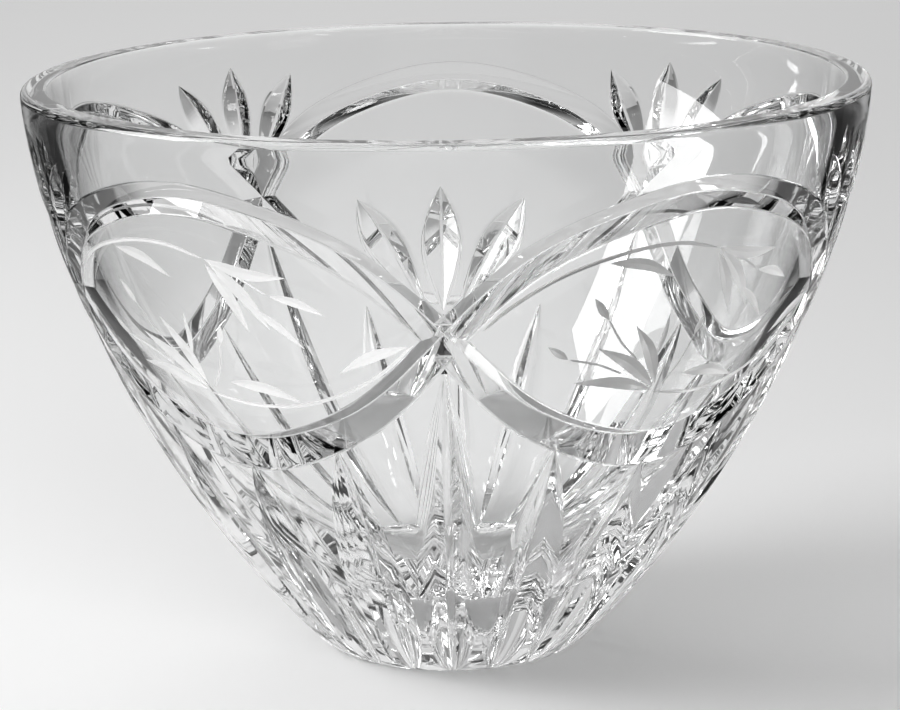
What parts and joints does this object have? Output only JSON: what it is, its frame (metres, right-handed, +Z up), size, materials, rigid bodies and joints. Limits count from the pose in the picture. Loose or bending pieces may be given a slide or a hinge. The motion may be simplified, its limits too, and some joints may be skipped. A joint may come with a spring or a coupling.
{
  "type": "trifle bowl",
  "caption": "Deep cut glass bowl with crossing V-cut bands, leaf fans, long flutes and engraved flowers, on a small flat foot.",
  "frame": {"origin": "middle of the flat foot, in the plane that it stands on", "axes": "+Z up along the axis of the bowl, with a crossing of the two bands facing -Y"},
  "size_m": [0.2028, 0.2028, 0.139],
  "materials": {
    "glass": "polished"
  },
  "bodies": {
    "root": {"bowl": "glass"}
  },
  "joints": []
}
